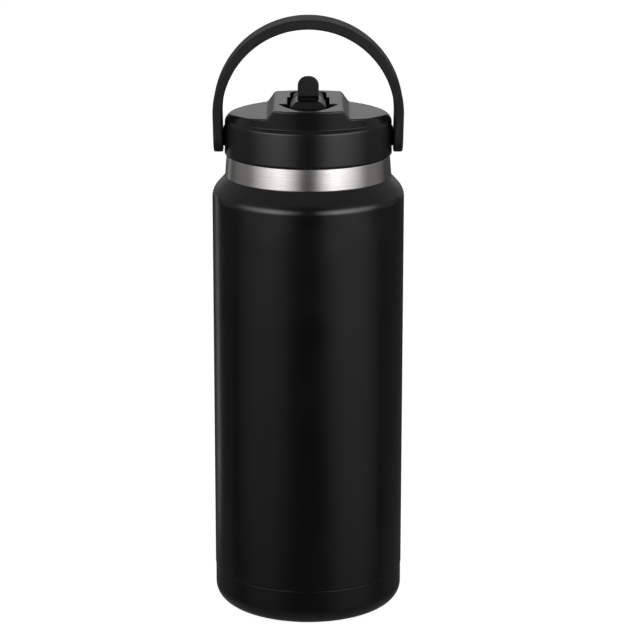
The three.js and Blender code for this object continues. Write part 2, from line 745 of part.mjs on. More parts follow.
// A strap of flat section with softened edges, bent over the lid. Its ends are round about the pivots.
function bailStrap() {
  const half = BAIL_WIDTH / 2;
  const middle = BAIL_OUTER - BAIL_THICK / 2;
  const legs = BAIL_ARC_Z - (BAIL_Z - half);
  // one station is the strap's middle line in x and z, the direction outwards, and the half-width there
  const stations = [];
  const legSteps = [0.25, 1, 2.4, 4.4, 6.6, half];
  for (const rise of legSteps) {
    const lean = BAIL_LEAN * (1 - rise / legs);
    const wide = Math.sqrt(Math.max(0, half ** 2 - (half - rise) ** 2));
    stations.push([middle - lean, BAIL_Z - half + rise, 0, wide]);
  }
  const arcSteps = 20;
  for (let i = 0; i <= arcSteps; i++) {
    const a = (Math.PI * i) / arcSteps;
    const z = BAIL_ARC_Z + middle * Math.sin(a);
    const grip = (THREE.MathUtils.smoothstep(z, ...BAIL_GRIP_Z) * (BAIL_GRIP_WIDTH - BAIL_WIDTH)) / 2;
    stations.push([middle * Math.cos(a), z, a, half + grip]);
  }
  for (const [x, z, , wide] of stations.slice(0, legSteps.length).reverse()) {
    stations.push([-x, z, Math.PI, wide]);
  }
  const sections = stations.map(([x, z, a, wide]) => {
    const edge = Math.min(BAIL_EDGE, wide / 2);
    const t = BAIL_THICK / 2;
    const corner = [[t, wide - edge], [t - edge, wide]];
    const outline = [
      ...corner,
      ...corner.map(([out, y]) => [-out, y]).reverse(),
      ...corner.map(([out, y]) => [-out, -y]),
      ...corner.map(([out, y]) => [out, -y]).reverse(),
    ];
    return outline.map(([out, y]) => new THREE.Vector3(x + out * Math.cos(a), y, z + out * Math.sin(a)));
  });
  const strap = toSolid(new LoftGeometry(sections, { capStart: true, capEnd: true }));
  const bore = alongX(rod(BAIL_BORE_R, -FAR, FAR, 20), 0, BAIL_Z);
  const sinks = [[BAIL_SINK_X, FAR], [-FAR, -BAIL_SINK_X]]
    .map(([x0, x1]) => alongX(rod(BAIL_SINK_R, x0, x1, 24), 0, BAIL_Z));
  return toGeometry(cut(strap, bore, ...sinks));
}

// Flared bushing between the lid's wall and the strap. Its sleeve is the strap's bearing.
function pivotBushing() {
  const bore = PIN_R + GAP;
  const sleeve = BAIL_BORE_R - GAP;
  const face = BAIL_OUTER - BAIL_THICK - BAIL_LEAN - GAP;
  const profile = [
    [bore, SPOT_X + GAP],
    [BUSHING_R, SPOT_X + GAP],
    [BUSHING_R, SPOT_X + 0.75],
    [BUSHING_FACE_R, face],
    [sleeve, face],
    [sleeve, BAIL_SINK_X - GAP],
    [bore, BAIL_SINK_X - GAP],
  ];
  return alongX(ring(profile, 16), 0, BAIL_Z);
}

function pivotPin() {
  const head = BAIL_SINK_X + GAP;
  const pin = turned([
    [0, PIN_X],
    [PIN_R - 0.3, PIN_X],
    [PIN_R, PIN_X + 0.3],
    [PIN_R, head],
    [HEAD_R, head],
    [HEAD_R, head + HEAD],
    [0, head + HEAD],
  ], 16);
  return alongX(pin, 0, BAIL_Z);
}

function pivotClip() {
  return alongX(washer(PIN_R + GAP, CLIP_R, ...CLIP_X, 16), 0, BAIL_Z);
}

function pivotCap() {
  const inner = BAIL_SINK_X + 2 * GAP + HEAD;
  const cap = turned([[0, inner], [CAP_R, inner], [CAP_R, CAP_X - 0.2], [CAP_R - 0.3, CAP_X], [0, CAP_X]], 16);
  return alongX(cap, 0, BAIL_Z);
}

place('bail_strap', bailStrap(), softBlack);
placePair('pivot_bushing', pivotBushing, moulding);
placePair('pivot_pin', pivotPin, steel);
placePair('pivot_clip', pivotClip, steel);
placePair('pivot_cap', pivotCap, softBlack);

export default growler;
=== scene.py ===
"""An insulated steel growler with a screw-on straw lid, a flip-up spout and a bail handle.

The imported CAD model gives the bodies, the places and the sizes. Each piece that shows is remade here with a
fine surface and a procedural material, and a few edges on the lid stray from the CAD model's by about a
millimetre. Lengths are in millimetres, and meshes become metres as they are made. The studio is in metres.
"""
import math

import bpy
import numpy as np
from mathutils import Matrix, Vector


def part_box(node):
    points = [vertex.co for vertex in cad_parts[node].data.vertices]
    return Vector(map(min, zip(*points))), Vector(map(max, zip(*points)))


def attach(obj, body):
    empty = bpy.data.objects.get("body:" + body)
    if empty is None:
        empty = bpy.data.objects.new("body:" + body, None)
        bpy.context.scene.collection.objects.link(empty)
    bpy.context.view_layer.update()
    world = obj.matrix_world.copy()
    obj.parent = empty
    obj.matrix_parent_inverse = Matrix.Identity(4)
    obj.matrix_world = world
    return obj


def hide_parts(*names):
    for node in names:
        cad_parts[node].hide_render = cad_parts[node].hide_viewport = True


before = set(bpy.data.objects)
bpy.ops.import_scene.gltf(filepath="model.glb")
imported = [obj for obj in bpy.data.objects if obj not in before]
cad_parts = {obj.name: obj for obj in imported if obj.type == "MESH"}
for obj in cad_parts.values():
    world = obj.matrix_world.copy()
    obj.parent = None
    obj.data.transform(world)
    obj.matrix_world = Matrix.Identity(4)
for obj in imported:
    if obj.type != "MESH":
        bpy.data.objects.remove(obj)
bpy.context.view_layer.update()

import openvdb
from mathutils import Vector

MM = 0.001


def span(node):
    """A CAD node's lowest and highest corners, in millimetres."""
    low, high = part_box(node)
    return np.array(low) / MM, np.array(high) / MM


# ---------------------------------------------------------------- driving dimensions

GAP = 0.3  # clearance between neighbouring pieces
SHEET = 0.8  # steel wall thickness

# steel bottle
BODY_R = span("outer_shell")[1][0]
RIM_Z = span("outer_shell")[1][2]
SEAM_Z = span("outer_shell")[0][2] - GAP
SHOULDER_Z = 210  # where the straight wall ends
SHOULDER_ARC = 9.5
NECK_LOW_R = 41.1
NECK_LOW_Z = 220.9
NECK_TOP_R = 40.3
MOUTH_R = 37  # inside of the flask's mouth
COAT = 0.07  # thickness of the powder coat where it ends on the neck
BASE_R = span("base_cup")[1][0]
BASE_CORNER = 8.3
BASE_RING_R = 33
BASE_RECESS = 2.2
COLLAR_R = BODY_R - SHEET - GAP
COLLAR_TOP = span("base_cup")[1][2]
PORT_R = 2.5
FLASK_FLOOR = 9.8

# lid
LID_Z = span("lid_cap")[0][2]
LID_R = 40.9
LID_SKIRT_TAPER = 0.02  # how much the skirt narrows per unit of height
LID_LEDGE_Z = 249.8  # top of the skirt
LID_LEDGE_ROUND = 1.9
LID_TOP_R = 39.5  # upper wall at its front
LID_TOP_LEAN = 0.065  # how much the upper wall widens per unit of height
LID_SIDE_INSET = 0.15  # how far the upper wall stands back from the skirt at the sides
LID_SIDE_Z = 246.8  # height over which the wall draws in at the sides
LID_SIDE_X = (26, 38)  # where that begins, and where it is full
LID_SIDE_BULGE = 0.08
LID_INSIDE_R = 37.8
LID_RIM_INSIDE_R = 38.6
LID_INSIDE_STEP_Z = 233.9
WING_Z = 254.85  # height of the wings at the point (WING_X, WING_Y)
WING_X = 19.1
WING_Y = -34.6
WING_BACK_SLOPE = 0.051
WING_SIDE_SLOPE = 0.068
BRIDGE_Z = 259.2  # top of the bridge at its front edge
BRIDGE_Y = -39.5
BRIDGE_SLOPE = 0.041
BRIDGE_HALF = 16.7
BRIDGE_FLARE = 0.75  # sideways run of the bridge's flanks per unit of height
DECK = 4  # thickness of the moulding under the wings
STEM_R = 34.9
STEM_FLANGE_Z = 234.2

# spout
PIVOT_Y = -4.5
PIVOT_Z = 251.5
DRUM_R = 9.75
SPOUT_HALF = 9.2
SPOUT_EDGE = 0.8
SPOUT_TOP_HALF = 5.9  # half-width of its flat top, between the sloping flanks
SPOUT_FLARE = 1.1  # sideways run of those flanks per unit of height
SPOUT_RISE = 1  # how far it stands over the bridge
ARM_END_Y = 11.8
ARM_BOTTOM_Z = 247.8
MOUTHPIECE_HALF = 7.9
MOUTHPIECE_END_Y = 33.4
BORE_R = 2.2
NOZZLE_R = 3.1
NOZZLE_END_Y = 29
AXLE_R = 2
AXLE_HOLE_X = 4.7  # inner end of each axle's hole in the drum
AXLE_GROOVE_X = 16  # outer end of each axle's groove in the tub
TAB_HALF = 5.2
TAB_CORNER = 4.7
TAB_TOP = span("thumb_tab")[1][2]
TAB_Y = (-3.1, -0.5)
TAB_FOOT_Z = span("thumb_tab")[0][2]
TAB_UNDERCUT = 1.7  # height over the spout at which the tab's front slants back

# recess in the bridge that the spout folds into
POCKET_FRONT_Y = -37.3
POCKET_BACK_Y = -11.5
POCKET_HALF = 14.4
RAMP_SLOPE = 0.53
CHANNEL_HALF = 10.3
CHANNEL_STEP_Y = 13
REAR_CHANNEL_HALF = 8.95
REAR_CHANNEL_END_Y = 34.5
REAR_CHANNEL_CORNER = 5
CHANNEL_FLOOR = 247.2
WELL_R = 10.15
TUB_WALL = 1.8
SADDLE_X = 15.5  # outer end of the saddles that the axles lie in
SOCKET_R = 5.3  # seat of the straw's adapter under the tub
SOCKET_WALL = 1.9
SOCKET_BOTTOM = 236.9
SOCKET_WALL_TOP = 242.1
SOCKET_TOP = 244
VENT_Y = 16
VENT_HOLE_R = 1.2
VENT_HOLE_TOP = 250

# bail handle and its pivots
BAIL_Z = 240.3  # the pivots' height
BAIL_ARC_Z = 251.8  # centre of the strap's bend
BAIL_OUTER = 46.9
BAIL_THICK = 4.7
BAIL_WIDTH = 16
BAIL_GRIP_WIDTH = 20
BAIL_GRIP_Z = (250, 278)  # heights over which the strap widens to its grip
BAIL_LEAN = 0.4  # how far the legs lean in at their lower ends
BAIL_BORE_R = 3.5
BAIL_SINK_R = 5
BAIL_SINK_X = 44.6
PIN_R = 2
PIN_INNER_X = 35.5
PIN_HEAD_R = 4.6
PIN_HEAD = 0.7
PIN_HOLE_X = 30  # the cuts for the pins begin inside the lid's wall
CLIP_R = 3.6
CLIP_X = (36.4, 37.1)
PIVOT_CAP_R = 4.7
PIVOT_CAP_X = 46.6
SPOT_X = 39.9  # flat on the lid's wall under each bushing
SPOT_R = 6.1
BUSHING_R = 5.65  # at the lid
BUSHING_FACE_R = 4.8  # at the strap
BUSHING_CLEARANCE = 0.1  # between its face and the strap

# straw
STRAW_OUTER = 4.2
STRAW_INNER = 3.4
STRAW_BOTTOM, STRAW_TOP = span("straw")[0][2], span("straw")[1][2]
ADAPTER_TOP = 238.6

# ---------------------------------------------------------------- materials


class Finish:
    """A material being made: its shader's plain values, then patterns that vary colour, gloss and relief."""

    def __init__(self, name, colour, roughness, **values):
        self.material = bpy.data.materials.new(name)
        self.material.use_nodes = True
        self.tree = self.material.node_tree
        self.shader = self.tree.nodes["Principled BSDF"]
        self.shader.inputs["Base Color"].default_value = (*colour, 1)
        self.shader.inputs["Roughness"].default_value = roughness
        for socket, value in values.items():
            self.shader.inputs[socket.replace("_", " ")].default_value = value
        self.colour = colour
        self.roughness = roughness
        self.coordinates = self.tree.nodes.new("ShaderNodeTexCoord").outputs["Object"]

    def link(self, source, target):
        self.tree.links.new(source, target)

    def grains(self, kind, size, stretch):
        """A texture node whose grains are about size millimetres, drawn out by stretch along each axis."""
        mapping = self.tree.nodes.new("ShaderNodeMapping")
        mapping.inputs["Scale"].default_value = [1 / (size * MM * s) for s in stretch]
        self.link(self.coordinates, mapping.inputs["Vector"])
        texture = self.tree.nodes.new(kind)
        texture.inputs["Scale"].default_value = 1
        self.link(mapping.outputs["Vector"], texture.inputs["Vector"])
        return texture

    def noise(self, size, stretch=(1, 1, 1), detail=2):
        texture = self.grains("ShaderNodeTexNoise", size, stretch)
        texture.inputs["Detail"].default_value = detail
        return texture.outputs[0]

    def cells(self, size):
        return self.grains("ShaderNodeTexVoronoi", size, (1, 1, 1)).outputs["Distance"]

    def spread(self, pattern, low, high, start=0.3, end=0.7):
        """The pattern's values from start to end, drawn out from low to high."""
        ramp = self.tree.nodes.new("ShaderNodeMapRange")
        for socket, value in (("From Min", start), ("From Max", end), ("To Min", low), ("To Max", high)):
            ramp.inputs[socket].default_value = value
        self.link(pattern, ramp.inputs["Value"])
        return ramp.outputs["Result"]

    def tint(self, pattern, other):
        """Colour that goes from the base colour to the other one with the pattern."""
        mix = self.tree.nodes.new("ShaderNodeMix")
        mix.data_type = "RGBA"
        mix.inputs[6].default_value = (*self.colour, 1)
        mix.inputs[7].default_value = (*other, 1)
        self.link(self.spread(pattern, 0, 1), mix.inputs["Factor"])
        self.link(mix.outputs[2], self.shader.inputs["Base Color"])

    def gloss(self, pattern, change):
        """Roughness that strays from its plain value by up to change either way."""
        self.link(
            self.spread(pattern, self.roughness - change, self.roughness + change),
            self.shader.inputs["Roughness"],
        )

    def relief(self, pattern, depth):
        """Bumps of the depth given in millimetres, on top of any made before."""
        bump = self.tree.nodes.new("ShaderNodeBump")
        bump.inputs["Distance"].default_value = depth * MM
        self.link(pattern, bump.inputs["Height"])
        normal = self.shader.inputs["Normal"]
        if normal.is_linked:
            self.link(normal.links[0].from_socket, bump.inputs["Normal"])
        self.link(bump.outputs["Normal"], normal)


def powder_coat():
    """Satin black powder coat: a slight orange peel under a finer grain, with a few paler specks."""
    made = Finish("powder_coat", (0.0026, 0.0026, 0.003), 0.24, IOR=1.6)
    made.tint(made.noise(0.5, detail=3), (0.0042, 0.0042, 0.0046))
    made.gloss(made.noise(14, detail=4), 0.03)
    made.relief(made.noise(1.6, detail=1), 0.010)
    made.relief(made.noise(0.35), 0.004)
    return made.material


def brushed_steel():
    """Stainless steel turned on a lathe, so that its fine lines run round the Z axis."""
    made = Finish("brushed_steel", (0.45, 0.44, 0.43), 0.22, Metallic=1, Anisotropic=0.55)
    tangent = made.tree.nodes.new("ShaderNodeTangent")
    tangent.direction_type = "RADIAL"
    tangent.axis = "Z"
    made.link(tangent.outputs["Tangent"], made.shader.inputs["Tangent"])
    lines = made.noise(0.16, stretch=(90, 90, 1), detail=3)
    made.gloss(lines, 0.04)
    made.tint(made.noise(0.3, stretch=(60, 60, 1), detail=2), (0.52, 0.505, 0.495))
    made.relief(lines, 0.0005)
    return made.material


def plain_steel():
    """Steel as it comes off the machine, for pins and clips."""
    made = Finish("machined_steel", (0.56, 0.55, 0.54), 0.3, Metallic=1)
    made.gloss(made.noise(1.2, detail=4), 0.08)
    made.relief(made.noise(0.3), 0.003)
    return made.material


def lid_plastic():
    """Moulded polypropylene from a lightly spark-eroded mould: a fine grain, duller where it faces up."""
    made = Finish("lid_plastic", (0.0040, 0.0039, 0.0042), 0.27, IOR=1.55)
    made.tint(made.noise(0.4, detail=3), (0.0060, 0.0058, 0.0061))
    facing = made.tree.nodes.new("ShaderNodeSeparateXYZ")
    made.link(made.tree.nodes.new("ShaderNodeTexCoord").outputs["Normal"], facing.inputs[0])
    made.link(made.spread(facing.outputs["Z"], 0.26, 0.31, 0.3, 0.8), made.shader.inputs["Roughness"])
    made.relief(made.noise(0.45, detail=3), 0.006)
    made.relief(made.noise(7, detail=1), 0.010)
    return made.material


def bail_polymer():
    """The handle's soft-touch polymer, rougher and a little greyer than the lid."""
    made = Finish("bail_polymer", (0.0085, 0.0085, 0.009), 0.6)
    made.tint(made.noise(0.5, detail=3), (0.0115, 0.0115, 0.012))
    made.gloss(made.noise(6, detail=3), 0.04)
    made.relief(made.noise(0.5, detail=3), 0.012)
    return made.material


def soft_black():
    """Black elastomer with a fine matt grain."""
    made = Finish("soft_black", (0.0065, 0.0065, 0.007), 0.5)
    made.tint(made.noise(0.5, detail=3), (0.009, 0.009, 0.0095))
    made.gloss(made.noise(3, detail=3), 0.05)
    made.relief(made.noise(0.3, detail=3), 0.008)
    return made.material


def pale_silicone():
    """Translucent silicone rubber with the faint bloom that it has when it is new."""
    made = Finish("silicone", (0.72, 0.72, 0.69), 0.48, Subsurface_Weight=0.35, Subsurface_Scale=0.002)
    made.tint(made.noise(3, detail=4), (0.66, 0.66, 0.63))
    made.gloss(made.noise(1.5, detail=3), 0.06)
    made.relief(made.noise(0.4), 0.005)
    return made.material


def bead_foam():
    """Expanded foam: closed beads a couple of millimetres across."""
    made = Finish("bead_foam", (0.82, 0.79, 0.72), 0.9)
    beads = made.cells(2.2)
    made.tint(beads, (0.70, 0.67, 0.60))
    made.relief(made.spread(beads, 1, 0, 0, 1), 0.25)
    made.relief(made.noise(0.3), 0.02)
    return made.material


def clear_plastic():
    """Clear copolyester, with faint flow marks."""
    made = Finish("clear_plastic", (0.92, 0.94, 0.95), 0.12, Transmission_Weight=0.85, IOR=1.49)
    made.gloss(made.noise(4, detail=3), 0.04)
    made.relief(made.noise(5, detail=1), 0.02)
    return made.material


def braze():
    """The alloy bead over the evacuation port, dull and slightly flowed."""
    made = Finish("braze", (0.36, 0.33, 0.27), 0.45, Metallic=1)
    made.tint(made.noise(0.8, detail=4), (0.25, 0.22, 0.18))
    made.relief(made.noise(0.7, detail=3), 0.05)
    return made.material


def getter_metal():
    """Sintered getter: a matt grey pressed powder."""
    made = Finish("getter_metal", (0.20, 0.20, 0.21), 0.7, Metallic=0.8)
    made.tint(made.noise(0.25, detail=4), (0.12, 0.12, 0.125))
    made.relief(made.noise(0.25, detail=4), 0.04)
    return made.material


FINISHES = {
    "powder_coat": powder_coat(),
    "steel": brushed_steel(),
    "machined_steel": plain_steel(),
    "lid_plastic": lid_plastic(),
    "bail_polymer": bail_polymer(),
    "soft_black": soft_black(),
    "silicone": pale_silicone(),
    "foam": bead_foam(),
    "clear_plastic": clear_plastic(),
    "braze": braze(),
    "getter_metal": getter_metal(),
}

# ---------------------------------------------------------------- mesh helpers

SEGMENTS = 192  # round a large turned piece
SHARP = math.radians(38)  # edges bent further than this stay sharp


def add_piece(name, vertices, faces, body, nodes, slot, finish=None, normals=None):
    """A smooth mesh from vertices in millimetres, riding on a body and standing for its CAD nodes."""
    mesh = bpy.data.meshes.new(name)
    mesh.from_pydata((np.asarray(vertices) * MM).tolist(), [], faces)
    mesh.update()
    mesh.shade_smooth()
    if normals is None:
        mesh.set_sharp_from_angle(angle=SHARP)
    else:
        mesh.normals_split_custom_set_from_vertices(normals.tolist())
    mesh.materials.append(FINISHES[finish or slot])
    piece = bpy.data.objects.new(name, mesh)
    bpy.context.scene.collection.objects.link(piece)
    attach(piece, body)
    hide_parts(*nodes)
    return piece


def arc(centre_r, centre_z, radius, start, end, steps):
    """Profile points on an arc between two angles in degrees."""
    angles = np.radians(np.linspace(start, end, steps + 1))
    return [(centre_r + radius * math.cos(a), centre_z + radius * math.sin(a), 0) for a in angles]


def rounded(corners, closed, steps=5):
    """The points of a profile of (radius, height, corner radius), with its corners rounded."""
    points = []
    for i, (r, z, size) in enumerate(corners):
        here = np.array((r, z), float)
        if not size or not (closed or 0 < i < len(corners) - 1):
            points.append(here)
            continue
        before = np.array(corners[i - 1][:2]) - here
        after = np.array(corners[(i + 1) % len(corners)][:2]) - here
        before /= np.linalg.norm(before)
        after /= np.linalg.norm(after)
        half = math.acos(np.clip(before @ after, -1, 1)) / 2
        toward = (before + after) / np.linalg.norm(before + after)
        centre = here + toward * size / math.sin(half)
        first = here + before * size / math.tan(half) - centre
        last = here + after * size / math.tan(half) - centre
        sweep = math.pi - 2 * half
        for k in range(steps + 1):
            share = k / steps
            turn = math.sin((1 - share) * sweep) * first + math.sin(share * sweep) * last
            points.append(centre + turn / math.sin(sweep))
    return np.array(points)


def held(points, closed, reach=0.05):
    """The profile with a point close to each end of its long straight runs, so that they shade straight."""
    after = np.roll(points, -1, axis=0) if closed else points[1:]
    full = []
    for here, there in zip(points, after):
        full.append(here)
        run = there - here
        length = np.linalg.norm(run)
        if length > 0.4:
            full += [here + run * reach / length, there - run * reach / length]
    return np.array(full if closed else [*full, points[-1]])


def lathe(corners, closed=False, axis="Z", shift=(0, 0, 0), segments=SEGMENTS, mirror=False):
    """Vertices and faces of a turned body. Its corners run upwards along its outside."""
    profile = held(rounded(corners, closed), closed)
    angles = 2 * math.pi * np.arange(segments) / segments
    vertices, rings = [], []
    for r, z in profile:
        if r < 1e-6:
            rings.append([len(vertices)] * segments)
            vertices.append((0, 0, z))
        else:
            rings.append(list(range(len(vertices), len(vertices) + segments)))
            vertices += [(r * math.cos(a), r * math.sin(a), z) for a in angles]
    faces = []
    pairs = list(zip(rings, rings[1:])) + ([(rings[-1], rings[0])] if closed else [])
    for low, high in pairs:
        for j in range(segments):
            k = (j + 1) % segments
            corners_of_face = dict.fromkeys((low[j], low[k], high[k], high[j]))
            if len(corners_of_face) > 2:
                faces.append(list(corners_of_face))
    vertices = np.array(vertices, float)
    if axis == "X":
        vertices = vertices[:, [2, 0, 1]]
    if mirror:
        vertices[:, :2] *= -1
    return vertices + np.array(shift, float), faces


def turned(name, corners, body, nodes, slot, finish=None, **options):
    vertices, faces = lathe(corners, **options)
    return add_piece(name, vertices, faces, body, nodes, slot, finish)


def turned_pair(name, corners, body, slot, finish=None, **options):
    """A turned piece on the right (+X) about the bail's pivot, and its twin on the left."""
    for side in ("right", "left"):
        node = f"{name}_{side}"
        place = {"axis": "X", "shift": (0, 0, BAIL_Z), "mirror": side == "left", "segments": 96}
        turned(f"{node}_fine", corners, body, [node], slot, finish, **place, **options)


def round_and(a, b, r):
    """Where both fields are inside, with the edge between them rounded to radius r."""
    return np.minimum(np.maximum(a, b), -r) + np.hypot(np.maximum(a + r, 0), np.maximum(b + r, 0))


def round_or(a, b, r):
    """Where either field is inside, with a fillet of radius r between them."""
    return np.maximum(np.minimum(a, b), r) - np.hypot(np.maximum(r - a, 0), np.maximum(r - b, 0))


def chamfer_and(a, b, leg, r):
    """Where both fields are inside, with the edge between them cut back by leg and its corners rounded."""
    return round_and(round_and(a, (a + b + leg) * math.sqrt(0.5), r), b, r)


def slab(value, low, high):
    """The field of the space between two parallel planes."""
    return np.abs(value - (low + high) / 2) - (high - low) / 2


def smooth_step(value, start, end):
    """0 up to start, 1 from end on, and an even S-curve between them."""
    share = np.clip((value - start) / (end - start), 0, 1)
    return share * share * (3 - 2 * share)


def sculpted(name, field, low, high, step, body, nodes, slot, finish=None):
    """A piece whose surface is where field(x, y, z) is zero, inside the box from low to high.

    A grid of the given step finds the surface. Each vertex then settles on it in a few moves along the
    field's slope, which also gives its normal.
    """
    axes = [np.arange(a - 2 * step, b + 3 * step, step) for a, b in zip(low, high)]
    values = field(*np.meshgrid(*axes, indexing="ij", sparse=True))
    values = np.broadcast_to(values, [len(a) for a in axes])
    grid = openvdb.FloatGrid(10.0)
    grid.copyFromArray(np.ascontiguousarray(values, np.float32))
    points, quads = grid.convertToQuads(0.0)
    points = points.astype(float) * step + np.array([a[0] for a in axes])
    probe = 0.01
    moves, furthest_move = 4, 0.4 * step
    least_steepness = 0.05
    for _ in range(moves):
        value = field(*points.T)
        slopes = []
        for i in range(3):
            ahead, behind = points.copy(), points.copy()
            ahead[:, i] += probe
            behind[:, i] -= probe
            slopes.append((field(*ahead.T) - field(*behind.T)) / (2 * probe))
        slope = np.stack(slopes, axis=1)
        steepness = np.maximum((slope**2).sum(axis=1), least_steepness)
        move = -value / steepness
        limit = furthest_move / np.sqrt(steepness)
        points += np.clip(move, -limit, limit)[:, None] * slope
    normals = slope / np.linalg.norm(slope, axis=1, keepdims=True)
    a, b, c = points[quads[:, 0]], points[quads[:, 1]], points[quads[:, 2]]
    outward = (np.cross(b - a, c - b) * normals[quads[:, 1]]).sum()
    if outward < 0:
        quads = quads[:, ::-1]
    return add_piece(name, points, quads.tolist(), body, nodes, slot, finish, normals)


# ---------------------------------------------------------------- steel bottle


def neck_radius(z):
    """The bare neck is a slight cone."""
    return NECK_LOW_R - (z - NECK_LOW_Z) * (NECK_LOW_R - NECK_TOP_R) / (RIM_Z - NECK_LOW_Z)


def shell():
    """The outer wall in two pieces: powder-coated up to the foot of the neck, and bare steel above."""
    centre = BODY_R - SHOULDER_ARC
    inner = SHOULDER_ARC - SHEET
    run = NECK_LOW_R + COAT - centre, NECK_LOW_Z - 0.3 - SHOULDER_Z
    turn = math.degrees(math.atan2(run[1], run[0]) - math.acos(SHOULDER_ARC / math.hypot(*run)))
    joint_z = NECK_LOW_Z - 2
    turned("outer_shell_coated", [
        (BODY_R - SHEET, SEAM_Z + GAP, 0),
        (BODY_R, SEAM_Z + GAP, 0.3),
        *arc(centre, SHOULDER_Z, SHOULDER_ARC, 0, turn, 40),
        (NECK_LOW_R + COAT, NECK_LOW_Z - 0.3, 0.3),
        (neck_radius(NECK_LOW_Z) + COAT, NECK_LOW_Z, COAT * 0.9),
        (neck_radius(NECK_LOW_Z) - 0.2, NECK_LOW_Z, 0),
        (neck_radius(joint_z) - SHEET, joint_z, 0),
        *arc(centre, SHOULDER_Z, inner, turn, 0, 30),
    ], "bottle", ["outer_shell"], "powder_coat", closed=True)
    seat = MOUTH_R + SHEET + GAP
    turned("neck_band", [
        (neck_radius(joint_z) - SHEET + 0.05, joint_z + 0.1, 0),
        (neck_radius(NECK_LOW_Z) - 0.15, NECK_LOW_Z - 0.5, 0),
        (neck_radius(NECK_LOW_Z - 0.3), NECK_LOW_Z - 0.3, 0),
        (NECK_TOP_R, RIM_Z, 0.45),
        (seat, RIM_Z, 0.1),
        (seat, RIM_Z - SHEET, 0),
        (NECK_TOP_R - SHEET, RIM_Z - SHEET, 0),
    ], "bottle", ["outer_shell"], "steel", closed=True)


def base():
    """The base cup with its foot ring, the cover plate, the plug of the evacuation port, and the getter."""
    corner = BASE_R - BASE_CORNER
    ceiling = BASE_RECESS + SHEET
    turned("base_cup_coated", [
        (PORT_R, BASE_RECESS, 0),
        (BASE_RING_R - 2, BASE_RECESS, 1.2),
        (BASE_RING_R, 0, 1.2),
        *arc(corner, BASE_CORNER, BASE_CORNER, -90, 0, 24),
        (BASE_R, SEAM_Z, 0.3),
        (COLLAR_R, SEAM_Z, 0.1),
        (COLLAR_R, COLLAR_TOP, 0.2),
        (COLLAR_R - SHEET, COLLAR_TOP, 0.2),
        *arc(corner, BASE_CORNER, BASE_CORNER - SHEET, -4, -90, 20),
        (BASE_RING_R + 0.5, SHEET, 0.8),
        (BASE_RING_R - 1.6, ceiling, 0.8),
        (PORT_R, ceiling, 0),
    ], "bottle", ["base_cup"], "powder_coat", closed=True)
    top = BASE_RECESS - GAP
    turned("base_plate_fine", [
        (0, top - 0.75, 0),
        (19, top - 0.75, 0.6),
        (20, top - 1, 0.6),
        (24, top - 1, 0.4),
        (24, top, 0.2),
        (0, top, 0),
    ], "bottle", ["base_plate"], "steel")
    seat = BASE_RECESS + SHEET + GAP
    stem = PORT_R - GAP
    turned("vacuum_plug_fine", [
        (0, BASE_RECESS + 0.1, 0),
        (stem, BASE_RECESS + 0.1, 0.2),
        (stem, seat, 0),
        (4.2, seat, 0.2),
        (3.6, seat + 0.9, 0.8),
        (0, seat + 1.1, 0),
    ], "bottle", ["vacuum_plug"], "braze", segments=64)
    pill = FLASK_FLOOR - SHEET - GAP
    turned("getter_fine", [
        (0, pill - 1.7, 0),
        (6, pill - 1.7, 0.4),
        (6, pill - 0.6, 0.1),
        (8, pill - 0.6, 0.2),
        (8, pill, 0.2),
        (0, pill, 0),
    ], "bottle", ["getter"], "getter_metal", segments=96)


# ---------------------------------------------------------------- lid


# Heights of the sloping surfaces: the wings at WING_X, the bridge, the pocket's ramp, the deck under the
# wings, and the spout's top.


def wing_z(y):
    return WING_Z - WING_BACK_SLOPE * (y - WING_Y)


def bridge_z(y):
    return BRIDGE_Z - BRIDGE_SLOPE * (y - BRIDGE_Y)


def ramp_z(y):
    return bridge_z(POCKET_FRONT_Y) - RAMP_SLOPE * (y - POCKET_FRONT_Y)


def deck_z(y):
    return wing_z(y) - DECK


def spout_z(y):
    return bridge_z(y) + SPOUT_RISE


def tube(across, up, centre_across, centre_up, radius):
    """The field of an endless round bar, seen along its axis."""
    return np.hypot(across - centre_across, up - centre_up) - radius


def lid_top(x, y, z):
    """The space below the lid's top: two sloping wings and the raised bridge, blended where they meet."""
    side = np.abs(x)
    wing = z - wing_z(y) + WING_SIDE_SLOPE * (side - WING_X)
    wing /= math.hypot(1, WING_BACK_SLOPE, WING_SIDE_SLOPE)
    top = (z - bridge_z(y)) / math.hypot(1, BRIDGE_SLOPE)
    flank = (side - BRIDGE_HALF - BRIDGE_FLARE * (bridge_z(y) - z)) / math.hypot(1, BRIDGE_FLARE)
    return round_or(wing, round_and(top, flank, 0.8), 0.6)


def recess(x, y, z, grow):
    """The space that the spout folds into, or with grow above 0 the outside of the tub that lines it."""
    side = np.abs(x)
    vertex = POCKET_FRONT_Y - grow
    half = POCKET_HALF + grow
    curve = half**2 / (POCKET_BACK_Y - vertex)
    bullet = (x**2 / curve - (y - vertex)) / np.hypot(1, 2 * x / curve)
    ramp = (ramp_z(y) - 1.1 * grow - z) / math.hypot(1, RAMP_SLOPE)
    pocket = round_and(np.maximum(bullet, y - POCKET_BACK_Y - grow), ramp, 0.5)
    wide = np.maximum(side - CHANNEL_HALF - grow, y - CHANNEL_STEP_Y - grow)
    corner = REAR_CHANNEL_CORNER + grow
    narrow = round_and(side - REAR_CHANNEL_HALF - grow, y - REAR_CHANNEL_END_Y - grow, corner)
    front = POCKET_BACK_Y - 0.5 - y
    channel = np.maximum(np.maximum(np.minimum(wide, narrow), front), CHANNEL_FLOOR - grow - z)
    well = np.maximum(tube(y, z, PIVOT_Y, PIVOT_Z, WELL_R + grow), side - CHANNEL_HALF - grow)
    return np.minimum(np.minimum(pocket, channel), well)


